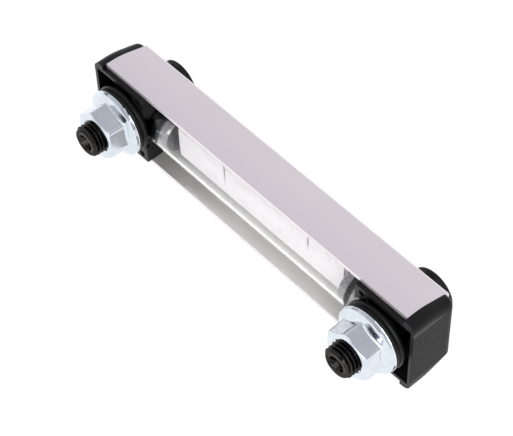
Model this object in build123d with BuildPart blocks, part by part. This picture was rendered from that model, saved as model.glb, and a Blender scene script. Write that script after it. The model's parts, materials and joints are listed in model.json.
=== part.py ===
"""Tank level gauge: a clear sight tube in an aluminium channel, held to a tank wall by two hollow bolts.

Frame: +Z runs up the gauge, +Y points into the tank and the viewer stands at -Y. The origin lies halfway
between the two bolts, on the face of the tank wall. The pieces are drawn with y = 0 at the channel's open
back edges, and save moves them onto the wall. Millimetres.
"""

from build123d import *
from math import cos, radians, sin, sqrt, tan
import os

# ---- overall ----
bolt_spacing = 127.0            # between the two hollow bolts
free_gap = 0.15                 # between pieces that slide or drop together
ring_gap = 0.02                 # between an O-ring and the walls that squeeze it

# ---- housing channel ----
channel_overhang = 10.75        # from a bolt's axis to the channel's end
channel_width = 34.4            # over the flanges
channel_depth = 18.8            # back edges to front face
channel_wall = 1.5
flank_straight = 5.8            # depth over which the flanges stay parallel
flank_taper = 15.0              # degrees, from there to the front
bend_radius = 25.0              # where the taper begins
channel_corner = 2.2            # outer radius at the front corners
window_width = 15.0
window_setback = 19.5           # from a bolt's axis to the window's end
bolt_hole = 12.6                # diameter, in the channel's front and the caps' front walls

# ---- sight tube ----
tube_outer = 18.0
tube_bore = 16.0
tube_axis_y = -7.5
tube_setback = 9.1              # from a bolt's axis to the tube's end
tube_end_edge = 0.4             # polished chamfer

# ---- contrast strip ----
strip_thickness = 0.8
strip_offset = 2.6              # from the tube's axis towards the wall
strip_gap = 1.8                 # between its end and the tube head's tip

# ---- tube heads ----
head_side_gap = 4.4             # from its flat front to the cap's wall, on each side
head_end_gap = 5.0              # from its outer end to the cap's end wall
spigot_length = 11.2
spigot_lead = 0.8               # chamfer at the spigot's tip
groove_from_tip = 3.4           # spigot tip to the O-ring groove
groove_width = 2.4
tube_ring_section = 1.8         # radial thickness of the fitted O-ring
passage = 6.0                   # diameter of the oil passage, chamber to spigot tip
cross_bore = 12.4
chamber_bore = 15.2
chamber_height = 8.0
bolt_ring_section = 1.7
head_edge = 2.2

# ---- end caps ----
cap_wall = 1.4
cap_front_wall = 1.3
cap_rim = 1.8                   # how far the rim stands behind the channel's back edges
insert_corner = 1.0             # radius at the front corners of the part inside the channel
insert_setback = 10.8           # from a bolt's axis to the inner end of that part
shelf_width = 5.9               # of the shelf behind the tube head
cap_lip = 4.75                  # how far the cap stands beyond the channel's end
cap_setback = 1.2               # how far that part stays behind the channel's front
cap_end_fillet = 3.4
pocket = 2.4                    # diameter of the two blind holes in the shelf
pocket_depth = 1.2
pocket_inset = 0.9              # pocket centre from the cap's side wall
rib_count = 22
rib_pitch = 1.16
rib_height = 0.35
rib_share = 0.55                # width of a rib against its pitch
rib_wrap = 2.7                  # how far the ribs run round onto the front
locating_rib = 1.2
locating_rib_back = 0.9

# ---- rear seals ----
seal_height = 5.4
seal_room = 1.1                 # around it inside the cap's walls
seal_collar_step = 4.3          # from its outside to the collar that stands on the tube head
seal_bead = 0.7                 # rounding of its two outer beads
seal_groove = 0.5               # depth of the groove between the beads

# ---- hollow bolts ----
thread_outer = 12.0             # M12 over the crests
thread_pitch_diameter = 10.86   # where the nut's thread and the bolt's meet
bolt_shank = 11.6
bolt_end_y = 20.1
bolt_point = 1.0                # chamfer at the thread's end
bolt_bore = 6.0
drill_tip = 1.8                 # depth of the bore's cone
neck_diameter = 9.6
neck_height = 6.0
cross_hole = 4.0
button_diameter = 17.3
button_height = 5.3
button_edge = 0.8               # radius round its front
socket_width = 8.0              # across flats
socket_depth = 4.2

# ---- flange nuts ----
nut_width = 18.0                # across flats
nut_height = 10.2
nut_flange = 25.6
nut_flange_edge = 1.5
nut_flange_slope = 24.0         # degrees
nut_chamfer_angle = 30.0
nut_chamfer_circle = 17.4
nut_mouth = 0.9                 # countersink at both ends of the nut's thread
nut_turns = {"top": 54.0, "bottom": 48.0}

# ---- derived places ----
bolt_z = bolt_spacing / 2
half_width = channel_width / 2
half_length = bolt_z + channel_overhang
window_end = bolt_z - window_setback
web_inner = channel_depth - channel_wall
head_front = web_inner - cap_front_wall
cap_front = channel_depth - cap_setback
cap_end = half_length + cap_lip
tube_end = bolt_z - tube_setback
cap_inner_end = bolt_z - insert_setback
shelf_end = cap_inner_end + shelf_width
head_outer_end = cap_end - cap_wall - head_end_gap
spigot_tip = tube_end - spigot_length
insert_inset = channel_wall + free_gap
cap_inside = half_width - insert_inset - cap_wall
taper_slope = tan(radians(flank_taper))
head_width = 2 * (cap_inside - taper_slope * (head_front - flank_straight) - head_side_gap) + 2 * head_edge
seal_radius = min(cap_inside, cap_end - cap_wall - bolt_z) - seal_room
nut_top = seal_height + nut_height
sides = {"top": 1, "bottom": -1}


def outline(inset, back, front, corner=0):
    """Sketches the channel's outside profile moved inwards by inset, from y = back to y = -front."""
    bend = flank_straight - inset * tan(radians(flank_taper / 2))
    side = half_width - inset
    nose = side - taper_slope * (front - bend)
    points = [(side, back), (side, -bend), (nose, -front), (-nose, -front), (-side, -bend), (-side, back)]
    with BuildSketch() as profile:
        with BuildLine():
            Polyline(*points, close=True)
        make_face()
        fillet(profile.vertices().group_by(Axis.Y)[1], bend_radius - inset)
        if corner > 0:
            fillet(profile.vertices().group_by(Axis.Y)[0], corner)
    return profile.sketch


def bolt_axis(side):
    """The line on which a hollow bolt, its nut and its seals are turned."""
    return Axis((0, 0, side * bolt_z), (0, 1, 0))


def hexagon(width, turn):
    """Corners of a hexagon of the given width across flats, turned by some degrees."""
    corner = width / sqrt(3)
    return [(corner * cos(radians(turn + 60 * i)), corner * sin(radians(turn + 60 * i))) for i in range(6)]


def save(piece, name):
    """Moves a piece so that the rear seals end on the tank wall at y = 0, and writes it."""
    placed = Pos(0, -seal_height, 0) * piece.part
    placed.label = name
    export_step(placed, f"parts/{name}.step")


def make_channel():
    with BuildPart() as channel:
        with BuildSketch(Plane.XY.offset(-half_length)):
            add(outline(0, 0, channel_depth, channel_corner))
            add(outline(channel_wall, 1, web_inner, channel_corner - channel_wall), mode=Mode.SUBTRACT)
        extrude(amount=2 * half_length)
        with BuildSketch(Plane.XZ.offset(web_inner - 1)):
            SlotOverall(2 * window_end, window_width, rotation=90)
            with Locations((0, bolt_z), (0, -bolt_z)):
                Circle(bolt_hole / 2)
        extrude(amount=channel_wall + 2, mode=Mode.SUBTRACT)
    return channel


def make_sight_tube():
    with BuildPart() as tube:
        with BuildSketch(Plane.XY.offset(-tube_end)):
            with Locations((0, tube_axis_y)):
                Circle(tube_outer / 2)
                Circle(tube_bore / 2, mode=Mode.SUBTRACT)
        extrude(amount=2 * tube_end)
        ends = tube.edges().filter_by(GeomType.CIRCLE)
        chamfer(ends.filter_by(lambda e: e.radius > tube_bore / 2 + 0.1), tube_end_edge)
    return tube


def make_contrast_strip():
    far_face = strip_offset + strip_thickness / 2
    half_chord = sqrt((tube_bore / 2 - free_gap) ** 2 - far_face ** 2)
    end = spigot_tip - strip_gap
    with BuildPart() as strip:
        with BuildSketch(Plane.XY.offset(-end)):
            with Locations((0, tube_axis_y + strip_offset)):
                Rectangle(2 * half_chord, strip_thickness)
        extrude(amount=2 * end)
    return strip


def make_tube_head(side):
    spigot = tube_bore / 2 - free_gap
    groove_bottom = tube_bore / 2 - ring_gap - tube_ring_section - ring_gap
    groove = spigot_tip + groove_from_tip
    with BuildPart() as head:
        with BuildSketch(Plane.XY.offset(side * tube_end)):
            with Locations((0, -head_front / 2)):
                Rectangle(head_width, head_front)
        extrude(amount=side * (head_outer_end - tube_end))
        chamfer(head.edges().filter_by(Axis.Y), head_edge)
        with BuildSketch(Plane.YZ):
            with BuildLine():
                Polyline(
                    (tube_axis_y, side * tube_end),
                    (tube_axis_y, side * spigot_tip),
                    (tube_axis_y + spigot - spigot_lead, side * spigot_tip),
                    (tube_axis_y + spigot, side * (spigot_tip + spigot_lead)),
                    (tube_axis_y + spigot, side * groove),
                    (tube_axis_y + groove_bottom, side * groove),
                    (tube_axis_y + groove_bottom, side * (groove + groove_width)),
                    (tube_axis_y + spigot, side * (groove + groove_width)),
                    (tube_axis_y + spigot, side * tube_end),
                    close=True,
                )
            make_face()
        revolve(axis=Axis((0, tube_axis_y, 0), (0, 0, 1)))
        with BuildSketch(Plane.XY.offset(side * spigot_tip)):
            with Locations((0, tube_axis_y)):
                Circle(passage / 2)
        extrude(amount=side * (bolt_z - spigot_tip), mode=Mode.SUBTRACT)
        with BuildSketch(Plane.XY.offset(side * bolt_z)):
            with BuildLine():
                Polyline(*cross_bore_section(), close=True)
            make_face()
        revolve(axis=bolt_axis(side), mode=Mode.SUBTRACT)
    return head


def cross_bore_section():
    """The cross bore's half section as (radius, y): O-ring seat in front, then bore, chamber and bore."""
    seat = bolt_shank / 2 + ring_gap + bolt_ring_section + ring_gap
    seat_floor = -head_front + bolt_ring_section + 2 * ring_gap
    chamber_low = tube_axis_y - chamber_height / 2
    chamber_high = tube_axis_y + chamber_height / 2
    return [
        (0, -head_front),
        (seat, -head_front),
        (seat, seat_floor),
        (cross_bore / 2, seat_floor),
        (cross_bore / 2, chamber_low),
        (chamber_bore / 2, chamber_low),
        (chamber_bore / 2, chamber_high),
        (cross_bore / 2, chamber_high),
        (cross_bore / 2, 0),
        (0, 0),
    ]


def make_tube_ring(side):
    section = tube_ring_section / 2
    middle = tube_bore / 2 - ring_gap - section
    height = spigot_tip + groove_from_tip + groove_width / 2
    with BuildPart() as ring:
        with BuildSketch(Plane.YZ):
            with Locations((tube_axis_y + middle, side * height)):
                Circle(section)
        revolve(axis=Axis((0, tube_axis_y, 0), (0, 0, 1)))
    return ring


def make_bolt_ring(side):
    section = bolt_ring_section / 2
    middle = bolt_shank / 2 + ring_gap + section
    with BuildPart() as ring:
        with BuildSketch(Plane.XY.offset(side * bolt_z)):
            with Locations((middle, -head_front + ring_gap + section)):
                Circle(section)
        revolve(axis=bolt_axis(side))
    return ring


def cap_solid(end_inset):
    """The cap's end beyond the channel, without its cavity, its end and front faces set in by end_inset."""
    end = cap_end - end_inset
    front = cap_front - end_inset
    with BuildPart() as solid:
        with BuildSketch(Plane.XY.offset(half_length + free_gap)):
            add(outline(0, cap_rim, front, channel_corner))
        extrude(amount=end - half_length - free_gap)
        rim = solid.faces().sort_by(Axis.Z)[-1].edges()
        fillet(rim.filter_by(lambda e: e.center().Y < cap_rim - 0.01), cap_end_fillet - end_inset)
    return solid


def make_end_cap():
    cavity_floor = head_front
    with BuildPart() as cap:
        add(cap_solid(0).part)
        # ribs on the end face: the grooves between them are cut down to a body set in by the rib height
        with BuildPart(mode=Mode.PRIVATE) as grooves:
            with BuildSketch(Plane.XY.offset(half_length + 1)):
                with Locations((0, (cap_rim + rib_wrap - cap_front) / 2)):
                    with GridLocations(rib_pitch, 1, rib_count - 1, 1):
                        Rectangle(rib_pitch * (1 - rib_share), cap_front - rib_wrap / 4 + cap_rim + 2)
            extrude(amount=cap_end - half_length)
            add(cap_solid(rib_height).part, mode=Mode.SUBTRACT)
        add(grooves.part, mode=Mode.SUBTRACT)
        # the part that slides into the channel
        with BuildSketch(Plane.XY.offset(cap_inner_end)):
            add(outline(insert_inset, cap_rim, web_inner, insert_corner))
        extrude(amount=half_length + free_gap + cap_wall - cap_inner_end)
        # cavity, open to the back
        with BuildSketch(Plane.XY.offset(cap_inner_end + cap_wall)):
            add(outline(insert_inset + cap_wall, cap_rim + 1, cavity_floor))
        extrude(amount=cap_end - cap_wall - cap_inner_end - cap_wall, mode=Mode.SUBTRACT)
        # shelf behind the tube head, with a round opening for the rear seal
        with BuildSketch(Plane.XZ.offset(-free_gap)):
            with Locations((0, (cap_inner_end + shelf_end) / 2)):
                Rectangle(2 * (half_width - insert_inset), shelf_end - cap_inner_end)
        extrude(amount=-(cap_rim - free_gap))
        with BuildSketch(Plane.XZ.offset(-cap_rim - 1)):
            with Locations((0, bolt_z)):
                Circle(seal_radius + 2 * free_gap)
        extrude(amount=cap_rim + 1 + free_gap, mode=Mode.SUBTRACT)
        # the tube's end passes through the inner wall
        with BuildSketch(Plane.XY.offset(cap_inner_end)):
            with Locations((0, tube_axis_y)):
                Circle(tube_outer / 2 + free_gap)
        extrude(amount=tube_end + free_gap - cap_inner_end, mode=Mode.SUBTRACT)
        # two blind pockets in the shelf's corners
        pocket_x = cap_inside - pocket_inset
        pocket_z = (cap_inner_end + shelf_end) / 2
        with BuildSketch(Plane.XZ.offset(-cap_rim)):
            with Locations((pocket_x, pocket_z), (-pocket_x, pocket_z)):
                Circle(pocket / 2)
        extrude(amount=pocket_depth, mode=Mode.SUBTRACT)
        # bolt hole in the front wall
        with BuildSketch(Plane.XZ.offset(cavity_floor - 1)):
            with Locations((0, bolt_z)):
                Circle(bolt_hole / 2)
        extrude(amount=cap_front_wall + 2, mode=Mode.SUBTRACT)
        # rib that stops the tube head from sliding outwards
        rib_from = head_outer_end + free_gap
        rib_to = cap_end - cap_wall
        with BuildSketch(Plane.XY.offset(rib_from)):
            with Locations((0, (locating_rib_back - cavity_floor) / 2)):
                Rectangle(locating_rib, locating_rib_back + cavity_floor)
        extrude(amount=rib_to - rib_from)
    return cap


def make_rear_seal(side):
    radius = seal_radius
    waist = radius - seal_groove
    collar = radius - seal_collar_step
    with BuildPart() as seal:
        with BuildSketch(Plane.XY.offset(side * bolt_z)) as section:
            with BuildLine():
                Polyline(
                    (bolt_shank / 2 + free_gap, 0),
                    (collar, 0),
                    (collar, cap_rim),
                    (radius, cap_rim),
                    (radius, seal_height * 0.55),
                    (waist, seal_height * 0.65),
                    (waist, seal_height * 0.72),
                    (radius - seal_groove / 2, seal_height * 0.8),
                    (radius - seal_groove / 2, seal_height),
                    (bolt_shank / 2 + free_gap, seal_height),
                    close=True,
                )
            make_face()
            outer = section.vertices().filter_by(lambda v: v.X > radius - 0.3)
            fillet(outer.group_by(Axis.Y)[0] + outer.group_by(Axis.Y)[-1], seal_bead)
        revolve(axis=bolt_axis(side))
    return seal


def make_hollow_bolt(side):
    front = -channel_depth
    top = front - button_height
    neck_low = tube_axis_y - neck_height / 2
    neck_high = tube_axis_y + neck_height / 2
    thread_free = nut_top + free_gap
    with BuildPart() as bolt:
        with BuildSketch(Plane.XY.offset(side * bolt_z)) as section:
            with BuildLine():
                Polyline(
                    (0, bolt_end_y),
                    (0, top),
                    (button_diameter / 2, top),
                    (button_diameter / 2, front),
                    (bolt_shank / 2, front),
                    (bolt_shank / 2, neck_low),
                    (neck_diameter / 2, neck_low),
                    (neck_diameter / 2, neck_high),
                    (bolt_shank / 2, neck_high),
                    (bolt_shank / 2, seal_height),
                    (thread_pitch_diameter / 2, seal_height),
                    (thread_pitch_diameter / 2, thread_free),
                    (thread_outer / 2, thread_free),
                    (thread_outer / 2, bolt_end_y - bolt_point),
                    (thread_outer / 2 - bolt_point, bolt_end_y),
                    close=True,
                )
            make_face()
            front_edge = section.vertices().filter_by(lambda v: v.X > bolt_shank / 2)
            fillet(front_edge.group_by(Axis.Y)[0], button_edge)
        revolve(axis=bolt_axis(side))
        bore_floor = neck_low
        with BuildSketch(Plane.XY.offset(side * bolt_z)):
            with BuildLine():
                Polyline(
                    (0, bolt_end_y),
                    (bolt_bore / 2, bolt_end_y),
                    (bolt_bore / 2, bore_floor),
                    (0, bore_floor - drill_tip),
                    close=True,
                )
            make_face()
        revolve(axis=bolt_axis(side), mode=Mode.SUBTRACT)
        for plane in (Plane.XY, Plane.YZ):
            centre = Plane(
                origin=(0, tube_axis_y, side * bolt_z), x_dir=(0, 1, 0), z_dir=plane.z_dir
            )
            with BuildSketch(centre):
                Circle(cross_hole / 2)
            extrude(amount=neck_diameter, both=True, mode=Mode.SUBTRACT)
        with BuildSketch(Plane.XZ.offset(-top)):
            with Locations((0, side * bolt_z)):
                Polygon(*hexagon(socket_width, 0), align=None)
        extrude(amount=-socket_depth, mode=Mode.SUBTRACT)
    return bolt


def make_flange_nut(name):
    side = sides[name]
    base = seal_height
    chamfer_r = nut_chamfer_circle / 2
    clear_r = nut_width
    fall = (clear_r - chamfer_r) * tan(radians(nut_chamfer_angle))
    flange_r = nut_flange / 2
    hex_r = nut_width / 2
    rise = (flange_r - hex_r) * tan(radians(nut_flange_slope))
    with BuildPart() as nut:
        with BuildSketch(Plane.XZ.offset(-base)):
            with Locations((0, side * bolt_z)):
                Polygon(*hexagon(nut_width, nut_turns[name]), align=None)
        extrude(amount=-nut_height)
        with BuildSketch(Plane.XY.offset(side * bolt_z)):
            with BuildLine():
                Polyline(
                    (0, base),
                    (clear_r, base),
                    (clear_r, nut_top - fall),
                    (chamfer_r, nut_top),
                    (0, nut_top),
                    close=True,
                )
            make_face()
        revolve(axis=bolt_axis(side), mode=Mode.INTERSECT)
        with BuildSketch(Plane.XY.offset(side * bolt_z)):
            with BuildLine():
                Polyline(
                    (0, base),
                    (flange_r, base),
                    (flange_r, base + nut_flange_edge),
                    (hex_r, base + nut_flange_edge + rise),
                    (0, base + nut_flange_edge + rise),
                    close=True,
                )
            make_face()
        revolve(axis=bolt_axis(side))
        bore = thread_pitch_diameter / 2 + ring_gap
        mouth = bore + nut_mouth
        with BuildSketch(Plane.XY.offset(side * bolt_z)):
            with BuildLine():
                Polyline(
                    (0, base),
                    (mouth, base),
                    (bore, base + nut_mouth),
                    (bore, nut_top - nut_mouth),
                    (mouth, nut_top),
                    (0, nut_top),
                    close=True,
                )
            make_face()
        revolve(axis=bolt_axis(side), mode=Mode.SUBTRACT)
    return nut


os.makedirs("parts", exist_ok=True)
save(make_channel(), "housing_channel")
save(make_sight_tube(), "sight_tube")
save(make_contrast_strip(), "contrast_strip")

end_cap_top = make_end_cap()
save(end_cap_top, "end_cap_top")
with BuildPart() as end_cap_bottom:
    add(mirror(end_cap_top.part, about=Plane.XY))
save(end_cap_bottom, "end_cap_bottom")

for name, side in sides.items():
    save(make_tube_head(side), f"tube_head_{name}")
    save(make_tube_ring(side), f"tube_o_ring_{name}")
    save(make_bolt_ring(side), f"bolt_o_ring_{name}")
    save(make_rear_seal(side), f"rear_seal_{name}")
    save(make_hollow_bolt(side), f"hollow_bolt_{name}")
    save(make_flange_nut(name), f"flange_nut_{name}")
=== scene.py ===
import bmesh
import bpy
import json
from math import cos, pi, radians, sin, sqrt, tan
from mathutils import Matrix, Vector


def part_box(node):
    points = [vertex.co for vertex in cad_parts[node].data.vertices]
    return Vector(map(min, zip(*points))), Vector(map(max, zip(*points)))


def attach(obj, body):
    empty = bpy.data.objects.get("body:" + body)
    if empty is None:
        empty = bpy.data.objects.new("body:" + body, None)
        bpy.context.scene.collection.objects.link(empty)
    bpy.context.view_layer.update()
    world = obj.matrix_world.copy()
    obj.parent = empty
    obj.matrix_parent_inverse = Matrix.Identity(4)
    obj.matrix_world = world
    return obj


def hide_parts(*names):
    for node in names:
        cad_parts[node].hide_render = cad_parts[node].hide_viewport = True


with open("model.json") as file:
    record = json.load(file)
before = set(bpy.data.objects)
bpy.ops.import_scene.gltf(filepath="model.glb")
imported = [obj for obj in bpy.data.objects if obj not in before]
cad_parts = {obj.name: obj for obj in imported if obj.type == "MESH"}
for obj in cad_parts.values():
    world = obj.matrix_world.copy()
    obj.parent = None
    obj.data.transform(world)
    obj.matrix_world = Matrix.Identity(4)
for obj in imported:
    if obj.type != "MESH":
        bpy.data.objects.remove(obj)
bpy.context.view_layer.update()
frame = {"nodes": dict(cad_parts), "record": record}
mm = 0.001
nodes = frame["nodes"]
scene = bpy.context.scene
# the two worn marks on the contrast strip: height, and from where to where across it
level_marks = ((-17.4 * mm, -3.5 * mm, 7.2 * mm), (24.3 * mm, -0.5 * mm, 7.2 * mm))


# ---------------------------------------------------------------- node helpers
class Nodes:
    """A short way to add nodes to a tree and to join them."""

    def __init__(self, tree):
        self.tree = tree
        tree.nodes.clear()

    def add(self, kind, *values, **settings):
        """Adds a node with those values on its first sockets and those settings on the node itself."""
        node = self.tree.nodes.new(kind)
        for name, value in settings.items():
            setattr(node, name, value)
        for socket, value in zip(node.inputs, values):
            self.put(socket, value)
        return node

    def put(self, socket, value):
        if isinstance(value, bpy.types.NodeSocket):
            self.tree.links.new(value, socket)
        else:
            socket.default_value = value

    def maths(self, operation, *values):
        return self.add("ShaderNodeMath", *values, operation=operation).outputs[0]

    def coordinates(self, kind):
        """X, Y and Z of the texture coordinates of that kind."""
        where = self.add("ShaderNodeTexCoord")
        return self.add("ShaderNodeSeparateXYZ", where.outputs[kind]).outputs


def material(name):
    made = bpy.data.materials.new(name)
    made.use_nodes = True
    return made, Nodes(made.node_tree)


def rgb(r, g, b):
    return (r, g, b, 1.0)


def grain(n, scale, detail=4.0, stretch=(1, 1, 1)):
    """Noise in the row's own coordinates, so that its scale is in turns per metre."""
    where = n.add("ShaderNodeTexCoord")
    fit = n.add("ShaderNodeMapping", where.outputs["Object"])
    fit.inputs["Scale"].default_value = stretch
    noise = n.add("ShaderNodeTexNoise", fit.outputs["Vector"])
    noise.inputs["Scale"].default_value = scale
    noise.inputs["Detail"].default_value = detail
    noise.inputs["Roughness"].default_value = 0.55
    return noise.outputs["Fac"]


def between(n, fac, low, high, frm=0.3, to=0.7):
    """Maps a value from the range frm..to, and no further, to the range low..high."""
    return n.add("ShaderNodeMapRange", fac, frm, to, low, high).outputs["Result"]


def blend_colour(n, fac, a, b):
    node = n.add("ShaderNodeMix", data_type="RGBA")
    n.put(node.inputs["Factor"], fac)
    n.put(node.inputs["A"], a)
    n.put(node.inputs["B"], b)
    return node.outputs["Result"]


def bump(n, height, distance, strength):
    node = n.add("ShaderNodeBump", strength, distance)
    n.put(node.inputs["Height"], height)
    return node.outputs["Normal"]


def principled(n, **sockets):
    shader = n.add("ShaderNodeBsdfPrincipled")
    for name, value in sockets.items():
        n.put(shader.inputs[name.replace("_", " ")], value)
    n.add("ShaderNodeOutputMaterial", shader.outputs["BSDF"])


# ---------------------------------------------------------------- materials
def anodised():
    made, n = material("anodised_aluminium")
    lines = grain(n, 2600, 3, (1, 1, 0.02))
    cloud = grain(n, 28, 3)
    shade = between(n, cloud, 0, 1, 0.05, 0.95)
    colour = blend_colour(n, shade, rgb(0.780, 0.724, 0.765), rgb(0.822, 0.764, 0.806))
    colour = blend_colour(n, between(n, lines, 0, 0.05), colour, rgb(0.70, 0.685, 0.69))
    # painted reflection: the flanges' inner faces, where the normal points back to the middle, are drawn
    # paler and with less tint, standing in for the neutral light they reflect
    outward = n.maths("MULTIPLY", n.coordinates("Object")["X"], n.coordinates("Normal")["X"])
    painted_inner_reflection = between(n, outward, 1, 0, -4 * mm, -1 * mm)
    colour = blend_colour(n, painted_inner_reflection, colour, rgb(0.90, 0.885, 0.86))
    principled(n, Base_Color=colour, Metallic=0.66, Roughness=between(n, shade, 0.262, 0.278, 0, 1))
    return made


def black_plastic():
    made, n = material("moulded_black_plastic")
    pores = grain(n, 3800, 3)
    cloud = grain(n, 130, 3)
    shade = between(n, cloud, 0, 1)
    colour = blend_colour(n, shade, rgb(0.0042, 0.0040, 0.0041), rgb(0.0080, 0.0076, 0.0078))
    principled(n, Base_Color=colour, Roughness=between(n, pores, 0.26, 0.38), Specular_IOR_Level=0.21,
               Normal=bump(n, pores, 0.008 * mm, 0.45))
    return made


def clear_plastic():
    made, n = material("clear_acrylic")
    haze = grain(n, 160, 2, (1, 1, 0.2))
    principled(n, Base_Color=rgb(0.985, 0.99, 0.99), Roughness=between(n, haze, 0.004, 0.022), IOR=1.49,
               Transmission_Weight=1.0)
    return made


def stroke(n, height, low, high, wear):
    """A thin mark across the strip at that height, from low to high, fading towards low."""
    half_width, end_length, fading = 0.45 * mm, 0.3 * mm, 0.6
    place = n.coordinates("Object")
    line = n.maths("COMPARE", place["Z"], height, half_width)
    fade = between(n, place["X"], 0, 1, low, low + fading * (high - low))
    end = between(n, place["X"], 1, 0, high - end_length, high)
    return n.maths("MULTIPLY", n.maths("MULTIPLY", line, fade), n.maths("MULTIPLY", end, wear))


def strip_board():
    made, n = material("contrast_strip_white")
    cloud = grain(n, 90, 4)
    spots = grain(n, 420, 3, (1, 1, 0.8))
    fibre = grain(n, 1500, 3, (1, 1, 0.25))
    colour = blend_colour(n, between(n, cloud, 0, 1), rgb(0.84, 0.805, 0.820), rgb(0.89, 0.855, 0.870))
    colour = blend_colour(n, between(n, spots, 0, 0.6, 0.58, 0.72), colour, rgb(0.66, 0.60, 0.62))
    colour = blend_colour(n, between(n, fibre, 0, 0.10), colour, rgb(0.72, 0.69, 0.71))
    wear = between(n, grain(n, 900, 3), 0.35, 0.95)
    for height, low, high in level_marks:
        colour = blend_colour(n, stroke(n, height, low, high, wear), colour, rgb(0.16, 0.155, 0.16))
    principled(n, Base_Color=colour, Roughness=0.55, Normal=bump(n, fibre, 0.006 * mm, 0.4))
    return made


def turned_aluminium():
    made, n = material("turned_aluminium")
    rings = grain(n, 1400, 2)
    cuts = grain(n, 3600, 2, (0.15, 0.15, 1))
    colour = blend_colour(n, between(n, rings, 0, 1), rgb(0.25, 0.245, 0.25), rgb(0.34, 0.335, 0.335))
    # painted shade: the lower head is drawn nearly black behind the lower O-ring
    painted_shade_behind_ring = between(n, n.coordinates("Object")["Z"], 0, 1, -48.7 * mm, -49.0 * mm)
    colour = blend_colour(n, painted_shade_behind_ring, colour, rgb(0.020, 0.020, 0.019))
    # painted reflection: the faces cut square to the tube are drawn darker, standing in for the dark they
    # reflect
    square = between(n, n.maths("ABSOLUTE", n.coordinates("Normal")["Z"]), 0, 1, 0.86, 0.94)
    colour = blend_colour(n, square, colour, rgb(0.075, 0.070, 0.072))
    principled(n, Base_Color=colour, Metallic=1.0, Roughness=between(n, rings, 0.12, 0.22),
               Normal=bump(n, cuts, 0.004 * mm, 0.4))
    return made


def rubber(name, low, high):
    made, n = material(name)
    pores = grain(n, 2600, 3)
    cloud = grain(n, 200, 3)
    colour = blend_colour(n, between(n, cloud, 0, 1), rgb(low, low, low), rgb(high, high, high * 1.03))
    principled(n, Base_Color=colour, Roughness=between(n, pores, 0.26, 0.40), Specular_IOR_Level=0.19,
               Normal=bump(n, pores, 0.006 * mm, 0.4))
    return made


def black_steel():
    made, n = material("black_oxide_steel")
    pores = grain(n, 2200, 3)
    cloud = grain(n, 260, 4)
    colour = blend_colour(n, between(n, cloud, 0, 1), rgb(0.019, 0.0184, 0.0178), rgb(0.050, 0.0485, 0.047))
    principled(n, Base_Color=colour, Metallic=1.0, Roughness=between(n, cloud, 0.10, 0.22),
               Specular_Tint=rgb(0.60, 0.59, 0.58), Normal=bump(n, pores, 0.010 * mm, 0.5))
    return made


def zinc():
    made, n = material("bright_zinc_plate")
    cloud = grain(n, 300, 4)
    crystal = grain(n, 1900, 3)
    colour = blend_colour(n, between(n, cloud, 0, 1), rgb(0.62, 0.675, 0.735), rgb(0.72, 0.775, 0.825))
    principled(n, Base_Color=colour, Metallic=1.0, Roughness=between(n, cloud, 0.07, 0.15),
               Normal=bump(n, crystal, 0.005 * mm, 0.35))
    return made


looks = {
    "channel": anodised(),
    "cap": black_plastic(),
    "tube": clear_plastic(),
    "strip": strip_board(),
    "head": turned_aluminium(),
    "ring": rubber("o_ring_rubber", 0.004, 0.008),
    "seal": rubber("seal_rubber", 0.004, 0.008),
    "bolt": black_steel(),
    "nut": zinc(),
}


def dress(piece, slot):
    piece.data.materials.clear()
    piece.data.materials.append(looks[slot])


slot_of = {row["node"]: row["material_slot"] for row in frame["record"]["subparts"]}
for name, node in nodes.items():
    dress(node, slot_of[name])


# ---------------------------------------------------------------- mesh helpers
def lathe(name, rings, segments, centre, along="Y", closed=False, sharp=35.0):
    """Rings of (height, radius or radius(angle, height)) about an axis along Y or Z, joined into one skin.

    The axis lies at X = 0. Centre is its Z if it runs along Y, and its Y if it runs along Z.
    """
    verts, faces = [], []
    for height, radius in rings:
        for i in range(segments):
            a = 2 * pi * i / segments
            r = radius(a, height) if callable(radius) else radius
            if along == "Y":
                verts.append((r * cos(a), height, centre + r * sin(a)))
            else:
                verts.append((r * cos(a), centre + r * sin(a), height))
    count = len(rings)
    for j in range(count if closed else count - 1):
        k = (j + 1) % count
        for i in range(segments):
            i2 = (i + 1) % segments
            faces.append((j * segments + i, j * segments + i2, k * segments + i2, k * segments + i))
    if not closed:
        faces.append(tuple(range(segments)))
        faces.append(tuple(range((count - 1) * segments, count * segments)))
    mesh = bpy.data.meshes.new(name)
    mesh.from_pydata(verts, [], faces)
    mesh.update()
    bm = bmesh.new()
    bm.from_mesh(mesh)
    bmesh.ops.recalc_face_normals(bm, faces=bm.faces)
    bm.to_mesh(mesh)
    bm.free()
    mesh.shade_smooth()
    mesh.set_sharp_from_angle(angle=radians(sharp))
    made = bpy.data.objects.new(name, mesh)
    scene.collection.objects.link(made)
    return made


def take_place(piece, node):
    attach(piece, "root")
    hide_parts(node)
    dress(piece, slot_of[node])


def hexagon(width, turn):
    """Radius of a hexagon of that width across flats with a corner at the angle turn."""
    def radius(a, _):
        off = (a - turn - pi / 6) % (pi / 3)
        off = min(off, pi / 3 - off) if off > pi / 6 else off
        return width / 2 / cos(off)
    return radius


def spread(low, high, count):
    return [low + (high - low) * i / count for i in range(count + 1)]


# ---------------------------------------------------------------- sight tube
def make_tube():
    low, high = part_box("sight_tube")
    axis_y = (low.y + high.y) / 2
    wall, edge = 1.0 * mm, 0.4 * mm
    outer = (high.x - low.x) / 2
    bore = outer - wall
    rings = [(low.z + edge, outer), (high.z - edge, outer), (high.z, outer - edge), (high.z, bore),
             (low.z, bore), (low.z, outer - edge)]
    tube = lathe("sight_tube_clear", rings, 256, axis_y, "Z", closed=True)
    tube.visible_shadow = False     # lamps shine through the clear wall
    take_place(tube, "sight_tube")


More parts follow.
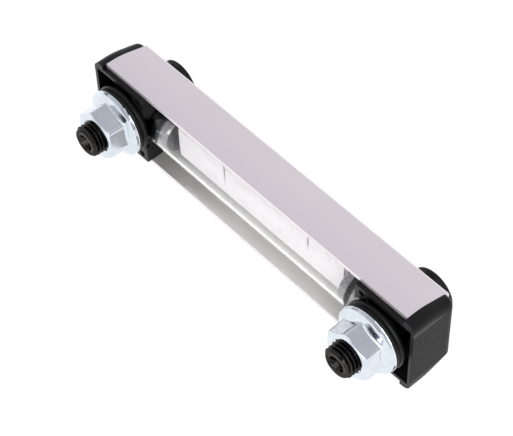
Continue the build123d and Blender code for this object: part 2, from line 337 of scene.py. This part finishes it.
# ---------------------------------------------------------------- O-rings pressed against the bore
def make_ring(which):
    node = "tube_o_ring_" + which
    low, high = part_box(node)
    axis_y = (low.y + high.y) / 2
    section = (high.z - low.z) / 2
    middle = (low.z + high.z) / 2
    widening, flat, steps = 1.12, 0.75 * mm, 40
    outer = (high.x - low.x) / 2 + 0.035 * mm       # touches the bore
    rings = []
    for i in range(steps):
        t = 2 * pi * i / steps
        along = section * widening * sin(t)
        r = outer - section * (1 - cos(t))
        if abs(along) < flat and cos(t) > 0:
            r = outer
        rings.append((middle + along, r))
    ring = lathe(node + "_rubber", rings, 160, axis_y, "Z", closed=True, sharp=80)
    take_place(ring, node)


# ---------------------------------------------------------------- hollow bolts
def thread_radius(crest, root, pitch, phase, end):
    """Radius of a right-handed thread that runs out through the chamfer at its end."""
    flat, flank, rounding = 0.10, 0.72, 0.35        # shares of half a turn, and of a smooth profile

    def radius(a, y):
        turn = (y / pitch - a / (2 * pi) + phase) % 1.0
        ramp = abs(turn - 0.5) * 2
        depth = min(1.0, max(0.0, (ramp - flat) / flank))
        depth = depth * depth * (3 - 2 * depth) * rounding + depth * (1 - rounding)
        r = crest - (crest - root) * depth
        return min(r, end(y))
    return radius


def make_bolt(which, phase):
    node = "hollow_bolt_" + which
    low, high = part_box(node)
    top, tip = low.y, high.y
    centre_z = (low.z + high.z) / 2
    nut_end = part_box("flange_nut_" + which)[1].y
    tube_low, tube_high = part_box("sight_tube")
    oil_y = (tube_low.y + tube_high.y) / 2
    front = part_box("housing_channel")[0].y

    # shank with its neck, then the thread, the chamfered end and the bore
    crest, root, pitch, point = 6.0 * mm, 4.95 * mm, 1.5 * mm, 0.9 * mm
    shank, neck, half_neck = 5.8 * mm, 4.8 * mm, 3.0 * mm
    end_face, bore, mouth = 4.75 * mm, 3.0 * mm, 0.45 * mm

    def end(y):
        return crest - max(0.0, y - (tip - point))

    thread = thread_radius(crest, root, pitch, phase, end)
    start = nut_end - 1.2 * mm
    rings = [(front, shank), (oil_y - half_neck, shank), (oil_y - half_neck, neck), (oil_y + half_neck, neck),
             (oil_y + half_neck, shank), (start, shank)]
    rings += [(y, thread) for y in spread(start, tip - 0.02 * mm, 90)]
    rings += [(tip, end_face), (tip, bore + mouth), (tip - mouth, bore), (oil_y, bore)]
    body = lathe(node + "_thread", rings, 192, centre_z, sharp=50)
    take_place(body, node)

    # low cylinder head with its hexagon socket
    head_r = (high.x - low.x) / 2
    edge, under_edge, under = 0.8 * mm, 0.25 * mm, 5.9 * mm
    socket = hexagon(8.0 * mm, 0.0)
    socket_depth, socket_edge, socket_edge_depth = 4.2 * mm, 0.16 * mm, 0.18 * mm
    cone_depth, cone_tip = 5.0 * mm, 0.4 * mm
    rings = [(front, under), (front, head_r - under_edge), (front - under_edge, head_r), (top + edge, head_r)]
    for t in spread(0.0, pi / 2, 10)[1:]:
        rings.append((top + edge * (1 - sin(t)), head_r - edge * (1 - cos(t))))
    rings.append((top, lambda a, y: socket(a, y) + socket_edge))
    rings += [(top + socket_edge_depth, socket), (top + socket_depth, socket), (top + cone_depth, cone_tip)]
    head = lathe(node + "_head", rings, 192, centre_z, sharp=40)
    take_place(head, node)


# ---------------------------------------------------------------- flange nuts
def round_max(a, b, k):
    """The larger of two sizes, with a fillet where they meet."""
    h = max(k - abs(a - b), 0.0) / k
    return max(a, b) + h * h * k * 0.25


def round_min(a, b, k):
    """The smaller of two sizes, with their edge rounded."""
    h = max(k - abs(a - b), 0.0) / k
    return min(a, b) - h * h * k * 0.25


def make_nut(which, turn):
    node = "flange_nut_" + which
    low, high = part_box(node)
    centre_z = (low.z + high.z) / 2
    flange = (high.x - low.x) / 2
    width = 18.0 * mm
    hexed = hexagon(width, radians(turn))
    corner = width / sqrt(3) - 0.28 * mm                        # the corners are slightly worn
    chamfer, chamfer_slope = 8.7 * mm, tan(radians(30))
    flange_edge, flange_slope = 1.5 * mm, tan(radians(24))
    fillet, corner_round, chamfer_round = 0.9 * mm, 0.7 * mm, 0.25 * mm
    skirt_top, chamfer_start = low.y + 4.6 * mm, high.y - 1.6 * mm

    def skin(a, y):
        side = round_min(hexed(a, y), corner, corner_round)
        side = round_min(side, chamfer + (high.y - y) / chamfer_slope, chamfer_round)
        skirt = flange - max(0.0, y - low.y - flange_edge) / flange_slope
        skirt = round_min(skirt, flange, fillet)
        return round_max(side, skirt, fillet)

    rings = [(low.y, 6.4 * mm), (low.y, flange - 0.35 * mm), (low.y + 0.3 * mm, flange - 0.06 * mm)]
    rings += [(y, skin) for y in spread(low.y + 0.5 * mm, skirt_top, 50)]
    rings += [(y, skin) for y in spread(skirt_top, chamfer_start, 6)[1:]]
    rings += [(y, skin) for y in spread(chamfer_start, high.y, 26)[1:]]
    # countersinks at both ends of the bore
    bore, mouth = 5.9 * mm, 6.75 * mm
    rings += [(high.y, mouth), (high.y - 0.75 * mm, bore + 0.05 * mm), (high.y - 1.6 * mm, bore),
              (low.y + 0.6 * mm, bore)]
    nut = lathe(node + "_plated", rings, 288, centre_z, closed=True, sharp=32)
    take_place(nut, node)


make_tube()
make_ring("top")
make_ring("bottom")
make_bolt("top", 0.0)
make_bolt("bottom", 0.4)
make_nut("top", 54.0)
make_nut("bottom", 48.0)


# ---------------------------------------------------------------- stage
floor_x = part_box("housing_channel")[0].x - 0.2 * mm
half = 1.6
mesh = bpy.data.meshes.new("floor")
corners = [(floor_x, -half, -half), (floor_x, half, -half), (floor_x, half, half), (floor_x, -half, half)]
mesh.from_pydata(corners, [], [(0, 1, 2, 3)])
mesh.update()
ground = bpy.data.objects.new("floor", mesh)
scene.collection.objects.link(ground)


def floor_material():
    """A pale floor that glows, more to the camera than to the object, and shows nothing from below."""
    glow_seen, glow_cast = 0.84, 0.50
    made, n = material("pale_floor")
    path = n.add("ShaderNodeLightPath").outputs
    seen = n.maths("MAXIMUM", path["Is Camera Ray"], path["Is Glossy Ray"])
    seen = n.maths("MAXIMUM", seen, path["Is Transmission Ray"])
    colour = blend_colour(n, grain(n, 40, 3), rgb(0.29, 0.29, 0.29), rgb(0.31, 0.31, 0.31))
    diffuse = n.add("ShaderNodeBsdfDiffuse", colour)
    glow = n.add("ShaderNodeEmission", rgb(1, 1, 1), between(n, seen, glow_cast, glow_seen, 0.0, 1.0))
    both = n.add("ShaderNodeAddShader", diffuse.outputs[0], glow.outputs[0])
    clear = n.add("ShaderNodeBsdfTransparent")
    below = n.add("ShaderNodeNewGeometry").outputs["Backfacing"]
    choose = n.add("ShaderNodeMixShader", below, both.outputs[0], clear.outputs[0])
    n.add("ShaderNodeOutputMaterial", choose.outputs[0])
    return made


ground.data.materials.append(floor_material())


def make_world():
    """White to the camera; to the object a sky that darkens towards +X, with one dark card in it."""
    world = bpy.data.worlds.new("studio")
    scene.world = world
    world.use_nodes = True
    n = Nodes(world.node_tree)
    where = n.add("ShaderNodeTexCoord").outputs["Generated"]
    across = n.add("ShaderNodeSeparateXYZ", where).outputs["X"]
    darker = between(n, across, 0, 1, -0.2, 0.9)
    sky = blend_colour(n, darker, rgb(0.99, 0.99, 0.99), rgb(0.615, 0.605, 0.643))
    card = Vector((0.42, 0.85, 0.30)).normalized()
    towards = n.add("ShaderNodeVectorMath", where, card, operation="DOT_PRODUCT").outputs["Value"]
    shade = between(n, towards, 0, 1, cos(radians(26)), cos(radians(21)))
    sky = blend_colour(n, shade, sky, rgb(0.05, 0.055, 0.07))
    dim = n.add("ShaderNodeBackground", sky, 0.97)
    white = n.add("ShaderNodeBackground", rgb(1, 1, 1), 1.0)
    seen = n.add("ShaderNodeLightPath").outputs["Is Camera Ray"]
    choose = n.add("ShaderNodeMixShader", seen, dim.outputs[0], white.outputs[0])
    n.add("ShaderNodeOutputWorld", choose.outputs[0])


make_world()


def softbox(name, place, size, watts):
    """A square lamp at that place, aimed at the origin."""
    light = bpy.data.lights.new(name, "AREA")
    light.shape = "SQUARE"
    light.size = size
    light.energy = watts
    made = bpy.data.objects.new(name, light)
    scene.collection.objects.link(made)
    made.visible_camera = False
    made.location = place
    made.rotation_mode = "QUATERNION"
    made.rotation_quaternion = (-Vector(place)).to_track_quat("-Z", "Y")


softbox("key", (0.55, 0.35, 0.28), 0.65, 2.1)
softbox("fill", (0.30, 0.55, 0.45), 0.50, 2.35)

# ---------------------------------------------------------------- camera
look = bpy.data.cameras.new("camera")
look.sensor_width = 36.0
look.lens = 127.47
look.clip_start, look.clip_end = 0.01, 20.0
camera = bpy.data.objects.new("camera", look)
scene.collection.objects.link(camera)
forward = Vector((-0.77803, -0.40691, -0.47864)).normalized()
right = Vector((-0.02158, -0.74412, 0.66770))
right = (right - forward * right.dot(forward)).normalized()
up = right.cross(forward)
# the place was measured from the channel's back edges, which stand that far in front of the tank wall
seal_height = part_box("rear_seal_top")[1].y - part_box("housing_channel")[1].y
place = Vector((0.475375, 0.247329 - seal_height, 0.294638))
turned = Matrix((right, up, -forward)).transposed().to_4x4()
camera.matrix_world = Matrix.Translation(place) @ turned
scene.camera = camera

scene.view_settings.view_transform = "Standard"
